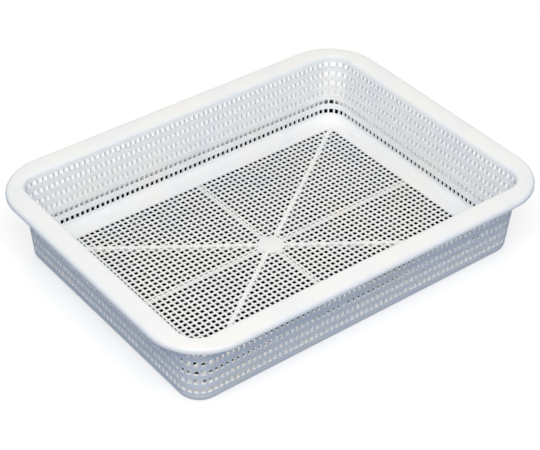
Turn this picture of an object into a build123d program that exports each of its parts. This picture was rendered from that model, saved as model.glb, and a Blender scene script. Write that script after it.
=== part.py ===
import os
from math import atan2, cos, degrees, hypot, pi, radians, sin, tan

from build123d import *

# Perforated basket for autoclaving, one moulding in white polypropylene.
# The origin is at the centre of the footprint, on the surface that it stands on.
# X runs along the length, Y along the width, Z is up.

# Body
floor_length = 321.5
floor_width = 232.5
floor_corner_radius = 17.0
inside_depth = 65.0
draft_angle = 3.6
wall_thickness = 1.5
floor_thickness = 1.5

# Foot of the walls, with the ring that it stands on
foot_height = 1.5
foot_width = 7.5
foot_outer_radius = 5.0
foot_inner_radius = 5.0

# Rim, turned down along its outer edge
rim_width = 19.0
rim_corner_radius = 47.0
rim_thickness = 2.0
rim_lip_height = 4.5
rim_lip_thickness = 2.0
rim_outer_radius = 3.4
rim_inner_bevel = 2.2

# Mesh of the floor
mesh_hole = 19.0
mesh_bar = 11.8
mesh_border = 13.5

# Ribs from the plain disc at the centre of the floor
disc_diameter = 20.0
axis_rib_width = 2.5
corner_rib_width = 7.0

# Slots in the walls
slot_width = 16.0
slot_height = 4.5
slot_pitch = 26.5
row_pitch = 9.45
first_row_height = 9.5
plain_band_height = 8.0

# Heights above the surface that it stands on
floor_top = foot_height + floor_thickness
rim_top = floor_top + inside_depth
rim_underside = rim_top - rim_thickness
lip_bottom = rim_top - rim_lip_height

# Outline of the rim, rounder at its corners than the walls are
rim_reach = rim_width + inside_depth * tan(radians(draft_angle))
rim_outer_length = floor_length + 2 * rim_reach
rim_outer_width = floor_width + 2 * rim_reach
under_rim_length = rim_outer_length - 2 * rim_lip_thickness
under_rim_width = rim_outer_width - 2 * rim_lip_thickness


def outline(height, margin, mode=Mode.ADD):
    """Rounded outline of the walls at a height above the floor, moved out by a margin."""
    out = margin + height * tan(radians(draft_angle))
    length = floor_length + 2 * out
    width = floor_width + 2 * out
    return RectangleRounded(length, width, floor_corner_radius + out, mode=mode)


def copies(space, size, pitch):
    """How many openings of one size fit along a space, at a pitch."""
    return int((space - size) / pitch) + 1


# Mesh of the floor: bars of one width, with holes that fill the field between the borders
mesh_length = floor_length - 2 * mesh_border
mesh_width = floor_width - 2 * mesh_border
mesh_columns = copies(mesh_length, mesh_hole, mesh_hole + mesh_bar)
mesh_rows = copies(mesh_width, mesh_hole, mesh_hole + mesh_bar)
column_pitch = (mesh_length + mesh_bar) / mesh_columns
line_pitch = (mesh_width + mesh_bar) / mesh_rows

# Ribs to the corners of the mesh
corner_rib_angle = degrees(atan2(mesh_width, mesh_length))
corner_rib_length = hypot(mesh_length, mesh_width)

# Slots in the straight walls
slot_rows = copies(inside_depth - first_row_height - plain_band_height, 0, row_pitch)
long_wall_slots = copies(floor_length - 2 * floor_corner_radius, slot_width, slot_pitch)
short_wall_slots = copies(floor_width - 2 * floor_corner_radius, slot_width, slot_pitch)
rows_middle = floor_top + first_row_height + row_pitch * (slot_rows - 1) / 2

# Slots round the corners, along the arc in the middle of the wall
corner_x = floor_length / 2 - floor_corner_radius
corner_y = floor_width / 2 - floor_corner_radius
corner_radius = floor_corner_radius + (rows_middle - floor_top) * tan(radians(draft_angle))
corner_slots = copies(corner_radius * pi / 2, slot_width, slot_pitch)
corner_slot_step = degrees(slot_pitch / corner_radius)

with BuildPart() as basket:
    # Rim: a flat flange, rounded along its outer edge and turned down
    with BuildSketch(Plane.XY.offset(lip_bottom)):
        RectangleRounded(rim_outer_length, rim_outer_width, rim_corner_radius)
    extrude(amount=rim_lip_height)
    fillet(faces().sort_by(Axis.Z)[-1].edges(), rim_outer_radius)
    with BuildSketch(Plane.XY.offset(lip_bottom)):
        RectangleRounded(under_rim_length, under_rim_width, rim_corner_radius - rim_lip_thickness)
    extrude(amount=rim_lip_height - rim_thickness, mode=Mode.SUBTRACT)

    # Drafted body, from the foot to the underside of the rim
    with BuildSketch(Plane.XY):
        outline(-floor_top, wall_thickness)
    extrude(amount=rim_underside, taper=-draft_angle)
    fillet(faces().sort_by(Axis.Z)[0].edges(), foot_outer_radius)

    # Inside, open at the top
    with BuildSketch(Plane.XY.offset(floor_top)):
        outline(0, 0)
    extrude(amount=inside_depth, taper=-draft_angle, mode=Mode.SUBTRACT)
    level_faces = faces().filter_by(Plane.XY).sort_by(Axis.Z)
    fillet(level_faces[1].edges(), foot_inner_radius)
    top_face = faces().filter_by(Plane.XY).sort_by(Axis.Z)[-1]
    chamfer(top_face.inner_wires()[0].edges(), rim_inner_bevel)

    # Recess under the floor, inside the ring that it stands on
    with BuildSketch(Plane.XY):
        outline(-floor_top, wall_thickness - foot_width)
    extrude(amount=foot_height, mode=Mode.SUBTRACT)

    # Slots round each corner, square to the wall
    for quarter, (side_x, side_y) in enumerate(((1, 1), (-1, 1), (-1, -1), (1, -1))):
        for place in range(corner_slots):
            turn = radians(90 * quarter + 45 + corner_slot_step * (place - (corner_slots - 1) / 2))
            outward = Vector(cos(turn), sin(turn), 0)
            along = Vector(-sin(turn), cos(turn), 0)
            with BuildSketch(Plane((side_x * corner_x, side_y * corner_y, rows_middle), along, outward)):
                with GridLocations(slot_width, row_pitch, 1, slot_rows):
                    Rectangle(slot_width, slot_height)
            extrude(amount=2 * corner_radius, mode=Mode.SUBTRACT)

    # Mesh of holes through the floor
    with BuildSketch(Plane.XY):
        with GridLocations(column_pitch, line_pitch, mesh_columns, mesh_rows):
            Rectangle(column_pitch - mesh_bar, line_pitch - mesh_bar)
    extrude(amount=floor_top, mode=Mode.SUBTRACT)

    # Plain disc, ribs along both axes and ribs to the corners of the mesh
    with BuildSketch(Plane.XY):
        Circle(disc_diameter / 2)
        Rectangle(floor_length, axis_rib_width)
        Rectangle(axis_rib_width, floor_width)
        Rectangle(corner_rib_length, corner_rib_width, rotation=corner_rib_angle)
        Rectangle(corner_rib_length, corner_rib_width, rotation=-corner_rib_angle)
        outline(-floor_top, wall_thickness - foot_width, mode=Mode.INTERSECT)
    extrude(amount=floor_top)

    # Slots through the two long walls
    with BuildSketch(Plane.XZ):
        with Locations((0, rows_middle)):
            with GridLocations(slot_pitch, row_pitch, long_wall_slots, slot_rows):
                Rectangle(slot_width, slot_height)
    extrude(amount=floor_width, both=True, mode=Mode.SUBTRACT)

    # Slots through the two short walls
    with BuildSketch(Plane.YZ):
        with Locations((0, rows_middle)):
            with GridLocations(slot_pitch, row_pitch, short_wall_slots, slot_rows):
                Rectangle(slot_width, slot_height)
    extrude(amount=floor_length, both=True, mode=Mode.SUBTRACT)

basket.part.label = "basket"

os.makedirs("parts", exist_ok=True)
export_step(basket.part, "parts/basket.step")
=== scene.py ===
import logging
from collections.abc import Callable
from dataclasses import dataclass, field
from enum import Enum
from math import atan2, cos, floor, hypot, pi, radians, sin, tan

import bmesh
import bpy
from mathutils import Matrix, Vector

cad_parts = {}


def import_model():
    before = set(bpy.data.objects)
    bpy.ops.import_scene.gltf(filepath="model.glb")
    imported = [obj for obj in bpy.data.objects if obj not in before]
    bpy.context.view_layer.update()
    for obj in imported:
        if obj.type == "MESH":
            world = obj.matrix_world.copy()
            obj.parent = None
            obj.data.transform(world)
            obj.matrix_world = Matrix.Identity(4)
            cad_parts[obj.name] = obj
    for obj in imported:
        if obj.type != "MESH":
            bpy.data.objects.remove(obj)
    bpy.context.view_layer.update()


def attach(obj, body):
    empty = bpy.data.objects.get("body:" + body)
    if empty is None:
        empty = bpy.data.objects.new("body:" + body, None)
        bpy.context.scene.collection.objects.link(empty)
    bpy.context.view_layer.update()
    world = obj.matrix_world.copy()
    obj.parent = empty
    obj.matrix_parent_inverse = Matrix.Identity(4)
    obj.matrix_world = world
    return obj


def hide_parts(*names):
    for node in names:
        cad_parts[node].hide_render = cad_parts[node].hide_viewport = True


MM = 0.001
WELD = 0.01 * MM  # corners closer together than this are one
HAIR = 0.05 * MM  # too small to show, and enough to tell two places apart
ROUND_OFF = 1e-7
KEY_LAMP_PLACE = (-0.75, -0.95, 2.00)  # beyond the near corner; the shadow painted on the paper follows it
log = logging.getLogger("basket")

Profile = list[tuple[float, float]]


class Corner(Enum):
    """The way that a turn in a cross-section bulges, seen from inside the basket."""

    HOLLOW = -1
    ROUND = 1


class Pick(Enum):
    """What a selection in edit mode is made of."""

    VERTICES = "VERT"
    EDGES = "EDGE"
    FACES = "FACE"


# ---------------------------------------------------------------- mesh tools


def clear_selection() -> None:
    """Deselects every object, so that an operator acts only on what is added next."""
    if bpy.context.object and bpy.context.object.mode != "OBJECT":
        bpy.ops.object.mode_set(mode="OBJECT")
    bpy.ops.object.select_all(action="DESELECT")


def named(name: str) -> bpy.types.Object:
    """Names the primitive that was just added and puts its place into its mesh."""
    piece = bpy.context.object
    piece.name = piece.data.name = name
    bpy.ops.object.transform_apply(location=True, rotation=True, scale=True)
    return piece


def choose(piece: bpy.types.Object) -> None:
    """Selects one piece alone and makes it the active one."""
    clear_selection()
    piece.select_set(True)
    bpy.context.view_layer.objects.active = piece


def edit(piece: bpy.types.Object) -> None:
    """Opens one piece alone in edit mode, with nothing in it selected."""
    choose(piece)
    bpy.ops.object.mode_set(mode="EDIT")
    bpy.ops.mesh.select_mode(type="VERT")
    bpy.ops.mesh.select_all(action="DESELECT")


def done() -> None:
    """Goes back to object mode."""
    bpy.ops.object.mode_set(mode="OBJECT")


def pick(piece: bpy.types.Object, kind: Pick, test: Callable[[object], bool]) -> int:
    """Selects the parts of an open mesh that pass a test, and nothing else.

    Args:
        piece: The object in edit mode.
        kind: Whether vertices, edges or faces are tested.
        test: Is given each bmesh element and says whether it is wanted.

    Returns:
        How many were selected.
    """
    bpy.ops.mesh.select_mode(type=kind.value)
    bpy.ops.mesh.select_all(action="DESELECT")
    mesh = bmesh.from_edit_mesh(piece.data)
    parts = {Pick.VERTICES: mesh.verts, Pick.EDGES: mesh.edges, Pick.FACES: mesh.faces}[kind]
    count = 0
    for part in parts:
        if test(part):
            part.select_set(True)
            count += 1
    mesh.select_flush_mode()
    bmesh.update_edit_mesh(piece.data)
    return count


def join(pieces: list[bpy.types.Object]) -> bpy.types.Object:
    """Joins pieces into the first of them.

    Args:
        pieces: The objects to join.

    Returns:
        The first object, which now holds all their meshes.
    """
    clear_selection()
    for piece in pieces:
        piece.select_set(True)
    bpy.context.view_layer.objects.active = pieces[0]
    bpy.ops.object.join()
    return pieces[0]


def apply_modifier(piece: bpy.types.Object, kind: str, **settings: object) -> None:
    """Adds a modifier to a piece and applies it at once.

    Args:
        piece: The object to change.
        kind: Blender's name for the modifier's type.
        **settings: The modifier's own settings.
    """
    choose(piece)
    modifier = piece.modifiers.new(kind.title(), kind)
    for key, value in settings.items():
        setattr(modifier, key, value)
    bpy.ops.object.modifier_apply(modifier=modifier.name)


def arc(corner: tuple[float, float], radius: float, start: float, turn: float, steps: int) -> Profile:
    """Points along an arc in a cross-section, both ends among them.

    Args:
        corner: Centre of the arc, as distance outwards and height.
        radius: Radius of the arc.
        start: Direction of the first point from the centre, in radians from straight out.
        turn: Angle from the first point to the last, in radians.
        steps: Number of steps between the ends.

    Returns:
        The points, from the first to the last.
    """
    return [
        (
            corner[0] + radius * cos(start + turn * step / steps),
            corner[1] + radius * sin(start + turn * step / steps),
        )
        for step in range(steps + 1)
    ]


# ---------------------------------------------------------------- materials


def linear(colour: str) -> tuple[float, float, float, float]:
    """Turns an sRGB hex colour such as "#F4F6F7" into linear values with full alpha."""
    parts = [int(colour[at : at + 2], 16) / 255 for at in (1, 3, 5)]
    return (*(c / 12.92 if c <= 0.04045 else ((c + 0.055) / 1.055) ** 2.4 for c in parts), 1.0)


def node(
    tree: bpy.types.NodeTree,
    kind: str,
    values: dict[str | int, object] | None = None,
    links: dict[str | int, bpy.types.NodeSocket] | None = None,
    **settings: object,
) -> bpy.types.Node:
    """Adds one node to a tree.

    Args:
        tree: The node tree.
        kind: Blender's name for the node's type.
        values: What to set on its input sockets, by their names.
        links: Which output sockets feed its input sockets, by their names.
        **settings: The node's own settings.

    Returns:
        The new node.
    """
    made = tree.nodes.new(kind)
    for key, value in settings.items():
        setattr(made, key, value)
    for key, value in (values or {}).items():
        made.inputs[key].default_value = value
    for key, source in (links or {}).items():
        tree.links.new(source, made.inputs[key])
    return made


def ramp(made: bpy.types.Node, stops: list[tuple[float, str]]) -> bpy.types.Node:
    """Gives a Color Ramp node its stops, each a place and an sRGB hex colour."""
    elements = made.color_ramp.elements
    while len(elements) < len(stops):
        elements.new(1.0)
    for element, (place, colour) in zip(elements, stops):
        element.position = place
        element.color = linear(colour)
    return made


def new_material(name: str) -> tuple[bpy.types.Material, bpy.types.NodeTree]:
    """Makes an empty material and returns it with its node tree."""
    material = bpy.data.materials.new(name)
    material.use_nodes = True
    material.node_tree.nodes.clear()
    return material, material.node_tree


@dataclass(frozen=True)
class MouldedPolypropylene:
    """White polypropylene, injection moulded in a finely eroded tool.

    It is opaque and satin: a soft sheen on the rim, no sharp reflections, a faint
    cloudiness where the melt flowed, and a skin too fine to feel as grain.
    """

    name: str = "polypropylene_moulded_white"
    body: str = "#F2F3F4"
    cloud: str = "#EEF0F3"
    warm: str = "#F4F3F0"
    roughness: float = 0.42
    glossier: float = 0.05  # how far the skin takes the roughness down
    duller: float = 0.06  # and up
    ior: float = 1.49
    flow_size: float = 45.0 * MM
    skin_size: float = 0.9 * MM  # a real eroded skin is about 0.1 mm, too fine to show
    skin_depth: float = 0.02 * MM
    wave_size: float = 14.0 * MM
    wave_depth: float = 0.05 * MM

    def material(self) -> bpy.types.Material:
        """Builds the material."""
        material, tree = new_material(self.name)
        place = node(tree, "ShaderNodeTexCoord").outputs["Object"]
        flow = node(
            tree,
            "ShaderNodeTexNoise",
            {"Scale": 1 / self.flow_size, "Detail": 3.0, "Distortion": 0.6},
            {"Vector": place},
        )
        tint = ramp(
            node(tree, "ShaderNodeValToRGB", links={"Fac": flow.outputs["Fac"]}),
            [(0.34, self.cloud), (0.5, self.body), (0.68, self.warm)],
        )
        skin, wave = (
            node(tree, "ShaderNodeTexNoise", {"Scale": 1 / size, "Detail": detail}, {"Vector": place})
            for size, detail in ((self.skin_size, 2.0), (self.wave_size, 1.0))
        )
        sheen = node(
            tree,
            "ShaderNodeMapRange",
            {
                "From Min": 0.3,
                "From Max": 0.7,
                "To Min": self.roughness - self.glossier,
                "To Max": self.roughness + self.duller,
            },
            {"Value": skin.outputs["Fac"]},
        )
        ripple = node(
            tree,
            "ShaderNodeBump",
            {"Strength": 0.5, "Distance": self.wave_depth},
            {"Height": wave.outputs["Fac"]},
        )
        grain = node(
            tree,
            "ShaderNodeBump",
            {"Strength": 0.35, "Distance": self.skin_depth},
            {"Height": skin.outputs["Fac"], "Normal": ripple.outputs["Normal"]},
        )
        shader = node(
            tree,
            "ShaderNodeBsdfPrincipled",
            {"IOR": self.ior, "Metallic": 0.0, "Specular IOR Level": 0.5},
            {
                "Base Color": tint.outputs["Color"],
                "Roughness": sheen.outputs["Result"],
                "Normal": grain.outputs["Normal"],
            },
        )
        node(tree, "ShaderNodeOutputMaterial", links={"Surface": shader.outputs["BSDF"]})
        return material


@dataclass(frozen=True)
class StudioPaper:
    """Seamless white studio paper, matt, with the basket's shadow on it.

    The lamps cast a faint shadow. A darker one is drawn on the paper as well, which
    they would not leave, so that the holes of the floor read dark. Its outline is the
    one that the key lamp would cast as a point: under the basket, and a little way
    behind it.
    """

    name: str = "paper_seamless_white"
    bounce: str = "#6A7692"
    # colour of the shadow painted on the paper, darker than the lamps leave it
    shade: str = "#080A14"
    glow: float = 0.62  # what the paper shows without light, so that the lit part comes out white
    sheen: float = 0.45  # share of the lamps' light that it shows, with their real shadow
    foot: tuple[float, float] = (155.0 * MM, 112.0 * MM)  # half the sides of the foot, drawn a little small
    lamp: tuple[float, float, float] = KEY_LAMP_PLACE
    top: float = 68.0 * MM  # height of the basket
    soft_edge: float = 0.010

    @property
    def spread(self) -> float:
        """How much the key lamp enlarges the top of the basket in its shadow."""
        return self.lamp[2] / (self.lamp[2] - self.top)

    def shadow(self, tree: bpy.types.NodeTree) -> bpy.types.NodeSocket:
        """Works out how far inside the painted shadow each place of the paper lies.

        The shadow of a level outline is the outline enlarged about the place under the
        lamp, more for one that is higher, so a place is in shadow where some
        enlargement between the foot's and the rim's covers it.

        Args:
            tree: The node tree.

        Returns:
            The range of enlargements that cover the place, negative outside.
        """
        spot = node(tree, "ShaderNodeTexCoord").outputs["Object"]
        place = node(tree, "ShaderNodeSeparateXYZ", links={0: spot})
        least: list[bpy.types.NodeSocket] = []
        most: list[bpy.types.NodeSocket] = []
        for axis, half, lamp in zip("XY", self.foot, self.lamp[:2]):
            for limits, edge in ((least, half), (most, -half)):
                away = node(tree, "ShaderNodeMath", {1: lamp}, {0: place.outputs[axis]}, operation="SUBTRACT")
                reach = edge - lamp
                ratio = node(tree, "ShaderNodeMath", {1: reach}, {0: away.outputs[0]}, operation="DIVIDE")
                limits.append(ratio.outputs[0])
        low = node(tree, "ShaderNodeMath", links=dict(enumerate(least)), operation="MAXIMUM")
        low = node(tree, "ShaderNodeMath", {1: 1.0}, {0: low.outputs[0]}, operation="MAXIMUM")
        high = node(tree, "ShaderNodeMath", links=dict(enumerate(most)), operation="MINIMUM")
        high = node(tree, "ShaderNodeMath", {1: self.spread}, {0: high.outputs[0]}, operation="MINIMUM")
        both = {0: high.outputs[0], 1: low.outputs[0]}
        return node(tree, "ShaderNodeMath", links=both, operation="SUBTRACT").outputs[0]

    def material(self) -> bpy.types.Material:
        """Builds the material."""
        material, tree = new_material(self.name)
        paper = node(tree, "ShaderNodeBsdfDiffuse", {"Color": linear(self.bounce)})
        white = node(tree, "ShaderNodeEmission", {"Color": linear("#FFFFFF"), "Strength": self.glow})
        pale = node(tree, "ShaderNodeBsdfDiffuse", {"Color": (self.sheen, self.sheen, self.sheen, 1.0)})
        seen = node(tree, "ShaderNodeAddShader", links={0: white.outputs[0], 1: pale.outputs[0]})
        shade = node(tree, "ShaderNodeBsdfDiffuse", {"Color": linear(self.shade)})
        # where the painted shadow lies on the paper, softened at its edge
        deep = node(
            tree,
            "ShaderNodeMapRange",
            {"From Min": 0.0, "From Max": self.soft_edge, "To Min": 0.0, "To Max": 1.0},
            {"Value": self.shadow(tree)},
            interpolation_type="SMOOTHSTEP",
        )
        shown = node(
            tree,
            "ShaderNodeMixShader",
            links={0: deep.outputs["Result"], 1: seen.outputs[0], 2: shade.outputs[0]},
        )
        rays = node(tree, "ShaderNodeLightPath")
        either = node(
            tree,
            "ShaderNodeMixShader",
            links={0: rays.outputs["Is Camera Ray"], 1: paper.outputs[0], 2: shown.outputs[0]},
        )
        node(tree, "ShaderNodeOutputMaterial", links={"Surface": either.outputs[0]})
        return material


# ---------------------------------------------------------------- the basket


@dataclass(frozen=True)
class Plan:
    """Plan of the basket: a rectangle with round corners, and the pitch that runs round it."""

    straight_long: float = 143.75 * MM
    straight_short: float = 99.25 * MM
    corner_radius: float = 17.0 * MM
    pitch: float = 5.0 * MM
    corner_pitches: float = 5.9

    @property
    def half_width(self) -> float:
        """Half the width of the floor, between the insides of the walls."""
        return self.straight_short + self.corner_radius

    @property
    def corner_length(self) -> float:
        """Length of a corner, as the pitch counts it."""
        return self.corner_pitches * self.pitch

    @property
    def quarter(self) -> float:
        """Length of a quarter round, from the middle of a long side to that of a short side."""
        return self.straight_long + self.corner_length + self.straight_short

    def along(self, x: float, y: float) -> float:
        """Distance round the quarter of a place on it, from the middle of the long side.

        Args:
            x: The place along the length.
            y: The place along the width.

        Returns:
            The distance, which runs evenly round the corner.
        """
        x, y = abs(x), abs(y)
        corner = self.corner_length
        if x <= self.straight_long:
            return x
        if y <= self.straight_short:
            return self.straight_long + corner + self.straight_short - y
        turn = pi / 2 - atan2(y - self.straight_short, x - self.straight_long)
        return self.straight_long + corner * turn / (pi / 2)

    def outward(self, x: float, y: float) -> float:
        """Distance of a place in the quarter beyond the outline of the floor."""
        return hypot(max(x - self.straight_long, 0.0), max(y - self.straight_short, 0.0)) - self.corner_radius

    def fitted(self, distance: float, out: float, radius: float) -> Vector:
        """Works out how an outline with its own corners departs from one that keeps its distance.

        Args:
            distance: Place round the quarter.
            out: Distance of both outlines beyond the floor's, along the straight sides.
            radius: Radius of the corners of the outline that is wanted.

        Returns:
            The way from the one outline to the other, square to the outline of the floor.
        """
        corner = self.corner_length
        turn = min(max((distance - self.straight_long) / corner, 0.0), 1.0) * pi / 2
        square = Vector((sin(turn), cos(turn)))
        even = self.corner_radius + out
        shift = radius - even
        beyond = self.straight_long + corner - distance
        start = Vector((min(distance - self.straight_long, 0.0), min(beyond, 0.0)))
        start += Vector((shift, shift))
        length = even / max(square)
        if min(start + square * length) > 0.0:
            reach = start.dot(square)
            length = (reach**2 - start.length_squared + radius**2) ** 0.5 - reach
        return (square * (length - even)).to_3d()

    def sweep(
        self,
        name: str,
        profile: Profile,
        stations: list[float],
        closed: bool = False,
        fit: Callable[[bpy.types.Object, list[float]], None] | None = None,
    ) -> bpy.types.Object:
        """Draws a cross-section and takes it round a quarter, then mirrors it to the other three.

        Args:
            name: Name of the piece.
            profile: Points of the cross-section, as distance out from the floor's outline and height.
            stations: Distances round the quarter at which a row of edges is wanted.
            closed: Whether the cross-section's last point joins its first.
            fit: Changes the quarter, open in edit mode, before it is mirrored.

        Returns:
            The swept piece, all the way round.
        """
        clear_selection()
        out, height = profile[0]
        bpy.ops.mesh.primitive_plane_add(size=MM, location=(0, self.half_width + out, height))
        piece = named(name)
        edit(piece)
        bpy.ops.mesh.select_all(action="SELECT")
        bpy.ops.mesh.merge(type="CENTER")
        ring = profile[1:] + ([profile[0]] if closed else [])
        for next_out, next_height in ring:
            step = (0, next_out - out, next_height - height)
            bpy.ops.mesh.extrude_region_move(TRANSFORM_OT_translate={"value": step})
            out, height = next_out, next_height
        bpy.ops.mesh.select_all(action="SELECT")
        bpy.ops.mesh.remove_doubles(threshold=WELD)
        corner = self.corner_length
        knots = (self.straight_long, self.straight_long + corner, self.quarter)
        stops = sorted({round(s, 7) for s in (*stations, *knots) if 0 < s <= self.quarter + ROUND_OFF})
        at = 0.0
        for stop in stops:
            length = stop - at
            if at < knots[0] - ROUND_OFF:
                bpy.ops.mesh.extrude_region_move(TRANSFORM_OT_translate={"value": (length, 0, 0)})
            elif at < knots[1] - ROUND_OFF:
                bpy.ops.mesh.spin(
                    steps=1,
                    angle=length / corner * pi / 2,
                    center=(self.straight_long, self.straight_short, 0),
                    axis=(0, 0, 1),
                )
            else:
                bpy.ops.mesh.extrude_region_move(TRANSFORM_OT_translate={"value": (0, -length, 0)})
            at = stop
        bpy.ops.mesh.select_all(action="SELECT")
        bpy.ops.mesh.remove_doubles(threshold=WELD)
        if fit:
            fit(piece, stops)
        done()
        apply_modifier(
            piece,
            "MIRROR",
            use_axis=(True, True, False),
            use_clip=False,
            use_mirror_merge=True,
            merge_threshold=2 * WELD,
        )
        return piece


@dataclass
class Walls:
    """Drafted walls with rows of slots, and the broad rim turned down along its outer edge."""

    plan: Plan
    floor_top: float = 3.0 * MM
    depth: float = 65.0 * MM
    draft: float = radians(3.6)
    foot_radius: float = 5.0 * MM
    rim_width: float = 19.0 * MM
    rim_inner_radius: float = 3.2 * MM
    rim_outer_radius: float = 3.4 * MM
    rim_corner_radius: float = 47.0 * MM
    foot_steps: int = 7
    rim_inner_steps: int = 6
    rim_outer_steps: int = 8
    lip_height: float = 4.5 * MM
    slot_width: float = 3.6 * MM
    slot_height: float = 5.0 * MM
    first_row: float = 9.1 * MM
    row_pitch: float = 9.45 * MM
    rows: int = 6

    def lean(self, height: float) -> float:
        """How far out the inside of the wall stands at a height above the floor."""
        return height * tan(self.draft)

    def rounding(self, corner: tuple[float, float], radius: float, bend: Corner, steps: int) -> Profile:
        """Rounds the turn between the wall and a level face.

        Args:
            corner: Where the wall's line meets the level face's line.
            radius: Radius of the rounding.
            bend: Hollow at the foot of the wall, round at its top.
            steps: Number of steps in the arc.

        Returns:
            The points of the arc, from the lower or inner end outwards.
        """
        reach = radius * tan((pi / 2 - self.draft) / 2)
        if bend is Corner.HOLLOW:
            centre = (corner[0] - reach, corner[1] + radius)
            return arc(centre, radius, -pi / 2, pi / 2 - self.draft, steps)
        centre = (corner[0] + reach, corner[1] - radius)
        return arc(centre, radius, pi - self.draft, -(pi / 2 - self.draft), steps)

    def slot_edges(self) -> list[tuple[float, float]]:
        """Lower and upper edge of each row of slots, above the floor."""
        middles = [self.first_row + self.row_pitch * row for row in range(self.rows)]
        return [(middle - self.slot_height / 2, middle + self.slot_height / 2) for middle in middles]

    def profile(self) -> Profile:
        """Cross-section of the inside of the wall and the top of the rim, from the floor to the lip."""
        points = self.rounding((0.0, self.floor_top), self.foot_radius, Corner.HOLLOW, self.foot_steps)
        for edges in self.slot_edges():
            points += [(self.lean(height), self.floor_top + height) for height in edges]
        top = self.floor_top + self.depth
        inner = (self.lean(self.depth), top)
        points += self.rounding(inner, self.rim_inner_radius, Corner.ROUND, self.rim_inner_steps)
        outer = self.lean(self.depth) + self.rim_width
        centre = (outer - self.rim_outer_radius, top - self.rim_outer_radius)
        points += arc(centre, self.rim_outer_radius, pi / 2, -pi / 2, self.rim_outer_steps)
        points.append((outer, top - self.lip_height))
        return points

    def stations(self) -> list[float]:
        """Both edges of every slot, as distances round a quarter."""
        count = int(self.plan.quarter / self.plan.pitch + 1)
        middles = [(place + 0.5) * self.plan.pitch for place in range(count)]
        return [middle + side * self.slot_width / 2 for middle in middles for side in (-1, 1)]

    def in_slot(self, face: bmesh.types.BMFace) -> bool:
        """Whether a face of the wall fills a slot."""
        middle = face.calc_center_median()
        height = middle.z - self.floor_top
        if not any(low < height < high for low, high in self.slot_edges()):
            return False
        pitches = self.plan.along(middle.x, middle.y) / self.plan.pitch
        return abs(pitches - floor(pitches) - 0.5) * self.plan.pitch < self.slot_width / 2

    def round_corner(self, piece: bpy.types.Object, stops: list[float]) -> None:
        """Gives the walls one corner radius at every height, and the edge of the rim a rounder corner.

        Args:
            piece: The quarter of the walls, open in edit mode.
            stops: Where its cross-sections stand, as distances round the quarter.
        """
        plan = self.plan
        inner = self.lean(self.depth)
        middle = inner + self.rim_width / 2
        levels = [edge for edges in self.slot_edges() for edge in edges]
        parts = [
            (level - HAIR, level + HAIR, -plan.corner_radius, middle, self.lean(level)) for level in levels
        ]
        parts.append((levels[-1] + HAIR, self.depth + HAIR, -plan.corner_radius, middle, inner))
        parts.append((0.0, self.depth + HAIR, middle, 2 * self.rim_width, inner + self.rim_width))
        for stop in stops:
            for low, high, near, far, out in parts:
                radius = plan.corner_radius if near < 0 else self.rim_corner_radius
                way = plan.fitted(stop, out, radius)
                if way.length < WELD:
                    continue
                pick(
                    piece,
                    Pick.VERTICES,
                    lambda corner: low < corner.co.z - self.floor_top < high
                    and near < plan.outward(*corner.co.xy) < far
                    and abs(plan.along(*corner.co.xy) - stop) < HAIR,
                )
                bpy.ops.transform.translate(value=way)

    def build(self) -> bpy.types.Object:
        """Sweeps the walls and rim as one open skin, with its slots still filled."""
        return self.plan.sweep("walls", self.profile(), self.stations(), fit=self.round_corner)


@dataclass
class MeshFloor:
    """Level floor with a field of square holes inside a plain border."""

    plan: Plan
    top: float = 3.0 * MM
    columns: int = 59
    lines: int = 41
    hole: float = 3.4 * MM

    @property
    def length(self) -> float:
        """Length of the field of holes."""
        return self.columns * self.plan.pitch

    @property
    def width(self) -> float:
        """Width of the field of holes."""
        return self.lines * self.plan.pitch

    def is_hole(self, face: bmesh.types.BMFace) -> bool:
        """Whether a face of the floor fills a hole, by its size."""
        middle = face.calc_center_median()
        level = abs(middle.z - self.top) < WELD
        inside = abs(middle.x) < self.length / 2 and abs(middle.y) < self.width / 2
        return level and inside and all(
            abs(face.calc_center_median()[axis] / self.plan.pitch - round(middle[axis] / self.plan.pitch)) < 0.01
            for axis in (0, 1)
        )

    def build(self) -> bpy.types.Object:
        """Lays the field as a grid and insets each cell, with its holes still filled."""
        clear_selection()
        bpy.ops.mesh.primitive_grid_add(
            x_subdivisions=self.columns,
            y_subdivisions=self.lines,
            size=1,
            location=(0, 0, self.top),
        )
        piece = named("mesh_floor")
        edit(piece)
        bpy.ops.mesh.select_all(action="SELECT")
        bpy.ops.transform.resize(value=(self.length, self.width, 1), center_override=(0, 0, self.top))
        bpy.ops.mesh.inset(thickness=(self.plan.pitch - self.hole) / 2, use_individual=True)
        done()
        return piece


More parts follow.
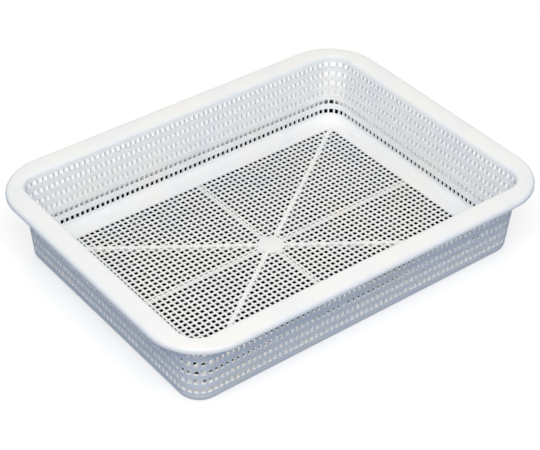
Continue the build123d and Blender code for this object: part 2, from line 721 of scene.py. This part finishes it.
@dataclass
class Bands:
    """Disc at the centre of the mesh, and the ribs that run out from it under the mesh."""

    field: MeshFloor
    disc: float = 22.0 * MM
    corner_rib: float = 3.4 * MM
    axis_rib: float = 1.4 * MM
    sunk: float = 0.30 * MM
    step: float = 0.04 * MM
    edge: float = 0.5 * MM
    disc_sides: int = 64

    def build(self) -> bpy.types.Object:
        """Builds the disc a hair above the floor and the ribs inside it, no two faces in one plane."""
        high = self.field.top + self.step
        clear_selection()
        bpy.ops.mesh.primitive_cylinder_add(
            vertices=self.disc_sides, radius=self.disc / 2, depth=high, location=(0, 0, high / 2)
        )
        pieces = [named("floor_disc")]
        edit(pieces[0])
        pick(pieces[0], Pick.EDGES, lambda line: all(corner.co.z > self.field.top for corner in line.verts))
        bpy.ops.mesh.bevel(offset=self.edge, segments=2, affect="EDGES")
        done()
        length, width = self.field.length, self.field.width
        lean = atan2(width, length)
        ribs = (
            (hypot(length, width), self.corner_rib, lean),
            (hypot(length, width), self.corner_rib, -lean),
            (length, self.axis_rib, 0.0),
            (width, self.axis_rib, pi / 2),
        )
        for place, (reach, across, turn) in enumerate(ribs):
            low = (place + 1) * self.step
            high = self.field.top - self.sunk - place * self.step
            clear_selection()
            bpy.ops.mesh.primitive_cube_add(
                size=1,
                location=(0, 0, (low + high) / 2),
                rotation=(0, 0, turn),
                scale=(reach, across, high - low),
            )
            pieces.append(named("floor_rib"))
        return join(pieces)


@dataclass
class FootRing:
    """Ring under the foot of the walls, on which the basket stands."""

    walls: Walls
    thickness: float = 1.3 * MM
    width: float = 7.5 * MM
    edge_radius: float = 5.0 * MM
    edge_steps: int = 8
    corner_steps: int = 16
    hidden: float = 0.12 * MM  # how deep its upper faces lie inside the walls and floor
    lap: float = 0.8  # how far it runs in under the floor, as a share of the walls' foot radius

    def build(self) -> bpy.types.Object:
        """Sweeps the ring's closed cross-section round the plan."""
        walls = self.walls
        outside = self.thickness / cos(walls.draft)
        edge = outside - walls.lean(walls.floor_top)
        points = [(edge - self.width, 0.0)]
        points += walls.rounding((edge, 0.0), self.edge_radius, Corner.HOLLOW, self.edge_steps)
        top = walls.floor_top + walls.foot_radius
        points.append((outside + walls.lean(walls.foot_radius) - self.hidden, top))
        points.append((walls.lean(walls.foot_radius) + self.hidden, top))
        points.append((-self.lap * walls.foot_radius, walls.floor_top - self.hidden))
        points.append((edge - self.width, walls.floor_top - self.hidden))
        plan = walls.plan
        steps = range(self.corner_steps + 1)
        stations = [plan.straight_long + plan.corner_length * step / self.corner_steps for step in steps]
        piece = plan.sweep("foot_ring", points, stations, closed=True)
        edit(piece)
        bpy.ops.mesh.select_all(action="SELECT")
        bpy.ops.mesh.normals_make_consistent(inside=False)
        done()
        return piece


@dataclass
class Basket:
    """The whole basket, one moulding."""

    plan: Plan = field(default_factory=Plan)
    finish: MouldedPolypropylene = field(default_factory=MouldedPolypropylene)
    thickness: float = 2.0 * MM
    floor_thickness: float = 0.8 * MM
    smooth_angle: float = radians(32)

    def build(self) -> bpy.types.Object:
        """Builds the moulding and dresses it.

        Returns:
            The finished piece, in the place of the plain basket.
        """
        walls = Walls(self.plan)
        mesh_floor = MeshFloor(self.plan, top=walls.floor_top)
        skin = self.skin(walls, mesh_floor)
        ring = FootRing(walls, thickness=self.thickness).build()
        log.info("foot ring: %d faces", len(ring.data.polygons))
        bands = Bands(mesh_floor).build()
        log.info("disc and ribs: %d faces", len(bands.data.polygons))
        piece = join([skin, ring, bands])
        piece.name = piece.data.name = "basket_moulding"
        choose(piece)
        bpy.ops.object.shade_smooth_by_angle(angle=self.smooth_angle)
        piece.data.materials.clear()
        piece.data.materials.append(self.finish.material())
        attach(piece, "root")
        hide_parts("basket")
        return piece

    def skin(self, walls: Walls, mesh_floor: MeshFloor) -> bpy.types.Object:
        """Joins the walls to the floor, opens every slot and hole, and gives the skin its thickness.

        Args:
            walls: The walls and rim.
            mesh_floor: The floor.

        Returns:
            The basket without its foot ring, disc and ribs.
        """
        piece = join([walls.build(), mesh_floor.build()])
        edit(piece)
        level = walls.floor_top + WELD
        pick(
            piece,
            Pick.EDGES,
            lambda line: line.is_boundary and all(corner.co.z < level for corner in line.verts),
        )
        bpy.ops.mesh.fill(use_beauty=True)
        bpy.ops.mesh.select_all(action="SELECT")
        bpy.ops.mesh.remove_doubles(threshold=WELD)
        bpy.ops.mesh.normals_make_consistent(inside=False)
        mesh = bmesh.from_edit_mesh(piece.data)
        if sum(face.normal.z for face in mesh.faces if mesh_floor.is_hole(face)) < 0:
            bpy.ops.mesh.flip_normals()
        slots = pick(piece, Pick.FACES, walls.in_slot)
        bpy.ops.mesh.delete(type="FACE")
        holes = pick(piece, Pick.FACES, mesh_floor.is_hole)
        bpy.ops.mesh.delete(type="FACE")
        pick(piece, Pick.VERTICES, lambda corner: corner.co.z > level)
        piece.vertex_groups.new(name="walls")
        bpy.ops.object.vertex_group_assign()
        done()
        log.info("walls and floor: %d slot faces and %d holes opened", slots, holes)
        apply_modifier(
            piece,
            "SOLIDIFY",
            thickness=self.thickness,
            offset=-1.0,
            use_even_offset=True,
            use_quality_normals=True,
            use_rim=True,
            vertex_group="walls",
            thickness_vertex_group=self.floor_thickness / self.thickness,
        )
        piece.vertex_groups.clear()
        return piece


# ---------------------------------------------------------------- the studio


@dataclass
class Studio:
    """Pale floor, soft lamps and the camera."""

    paper: StudioPaper = field(default_factory=StudioPaper)
    floor_size: float = 12.0
    camera_place: tuple[float, float, float] = (-0.66817, -0.84620, 0.85405)
    camera_turn: tuple[float, float, float] = (52.3654, -0.7644, -37.6484)
    camera_lens: float = 111.153
    camera_sensor: float = 36.0
    camera_near: float = 0.05
    sky_high: str = "#000000"
    sky_low: str = "#D3E4F8"
    sky_bounds: tuple[float, float] = (0.1, 0.8)  # between which heights the one turns into the other
    sky_strength: float = 1.08
    key_colour: str = "#FFFCF6"
    key_place: tuple[float, float, float] = KEY_LAMP_PLACE
    key_size: float = 1.6
    key_power: float = 46.0
    back_colour: str = "#FFF0D8"
    back_place: tuple[float, float, float] = (0.9, 1.1, 1.5)
    back_size: float = 1.2
    back_power: float = 10.0

    def build(self) -> None:
        """Builds everything round the object."""
        self.lay_floor()
        self.light_sky()
        self.hang_lamp("key_lamp", self.key_colour, self.key_place, self.key_size, self.key_power)
        self.hang_lamp("back_lamp", self.back_colour, self.back_place, self.back_size, self.back_power)
        self.place_camera()

    def lay_floor(self) -> None:
        """Lays the floor a hair below the foot of the basket."""
        clear_selection()
        bpy.ops.mesh.primitive_plane_add(size=self.floor_size, location=(0, 0, -HAIR))
        paper = named("studio_floor")
        paper.data.materials.append(self.paper.material())

    def light_sky(self) -> None:
        """Fills the room with soft light, and shows plain white where the camera looks past the floor."""
        world = bpy.data.worlds.new("studio_sky")
        bpy.context.scene.world = world
        world.use_nodes = True
        tree = world.node_tree
        tree.nodes.clear()
        rays = node(tree, "ShaderNodeLightPath")
        direction = node(tree, "ShaderNodeTexCoord").outputs["Generated"]
        way = node(tree, "ShaderNodeSeparateXYZ", links={0: direction})
        blend = node(tree, "ShaderNodeValToRGB", links={"Fac": way.outputs["Z"]})
        tint = ramp(blend, list(zip(self.sky_bounds, (self.sky_low, self.sky_high))))
        glow = {"Strength": self.sky_strength}
        soft = node(tree, "ShaderNodeBackground", glow, {"Color": tint.outputs["Color"]})
        white = node(tree, "ShaderNodeBackground", {"Color": linear("#FFFFFF"), "Strength": 1.0})
        shown = node(tree, "ShaderNodeMixShader", links={"Fac": rays.outputs["Is Camera Ray"]})
        tree.links.new(soft.outputs[0], shown.inputs[1])
        tree.links.new(white.outputs[0], shown.inputs[2])
        node(tree, "ShaderNodeOutputWorld", links={"Surface": shown.outputs[0]})

    def hang_lamp(
        self, name: str, colour: str, place: tuple[float, float, float], size: float, power: float
    ) -> None:
        """Hangs one square soft lamp that points at the basket.

        Args:
            name: Name of the lamp.
            colour: Colour of its light, as sRGB hex.
            place: Where it hangs.
            size: Length of its side.
            power: Its power in watts.
        """
        clear_selection()
        bpy.ops.object.light_add(type="AREA", location=place)
        lamp = bpy.context.object
        lamp.name = lamp.data.name = name
        lamp.data.size = size
        lamp.data.energy = power
        lamp.data.color = linear(colour)[:3]
        lamp.rotation_euler = (-Vector(place)).to_track_quat("-Z", "Y").to_euler()

    def place_camera(self) -> None:
        """Sets up the camera."""
        clear_selection()
        turn = tuple(radians(angle) for angle in self.camera_turn)
        bpy.ops.object.camera_add(location=self.camera_place, rotation=turn)
        camera = bpy.context.object
        camera.name = camera.data.name = "studio_camera"
        camera.data.lens = self.camera_lens
        camera.data.sensor_width = self.camera_sensor
        camera.data.clip_start = self.camera_near
        bpy.context.scene.camera = camera
        bpy.context.scene.view_settings.view_transform = "Standard"


def main() -> None:
    """Loads the frame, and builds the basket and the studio."""
    logging.basicConfig(level=logging.INFO, format="%(name)s: %(message)s")
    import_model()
    basket = Basket().build()
    log.info("%s: %d faces", basket.name, len(basket.data.polygons))
    Studio().build()


if __name__ == "__main__":
    main()
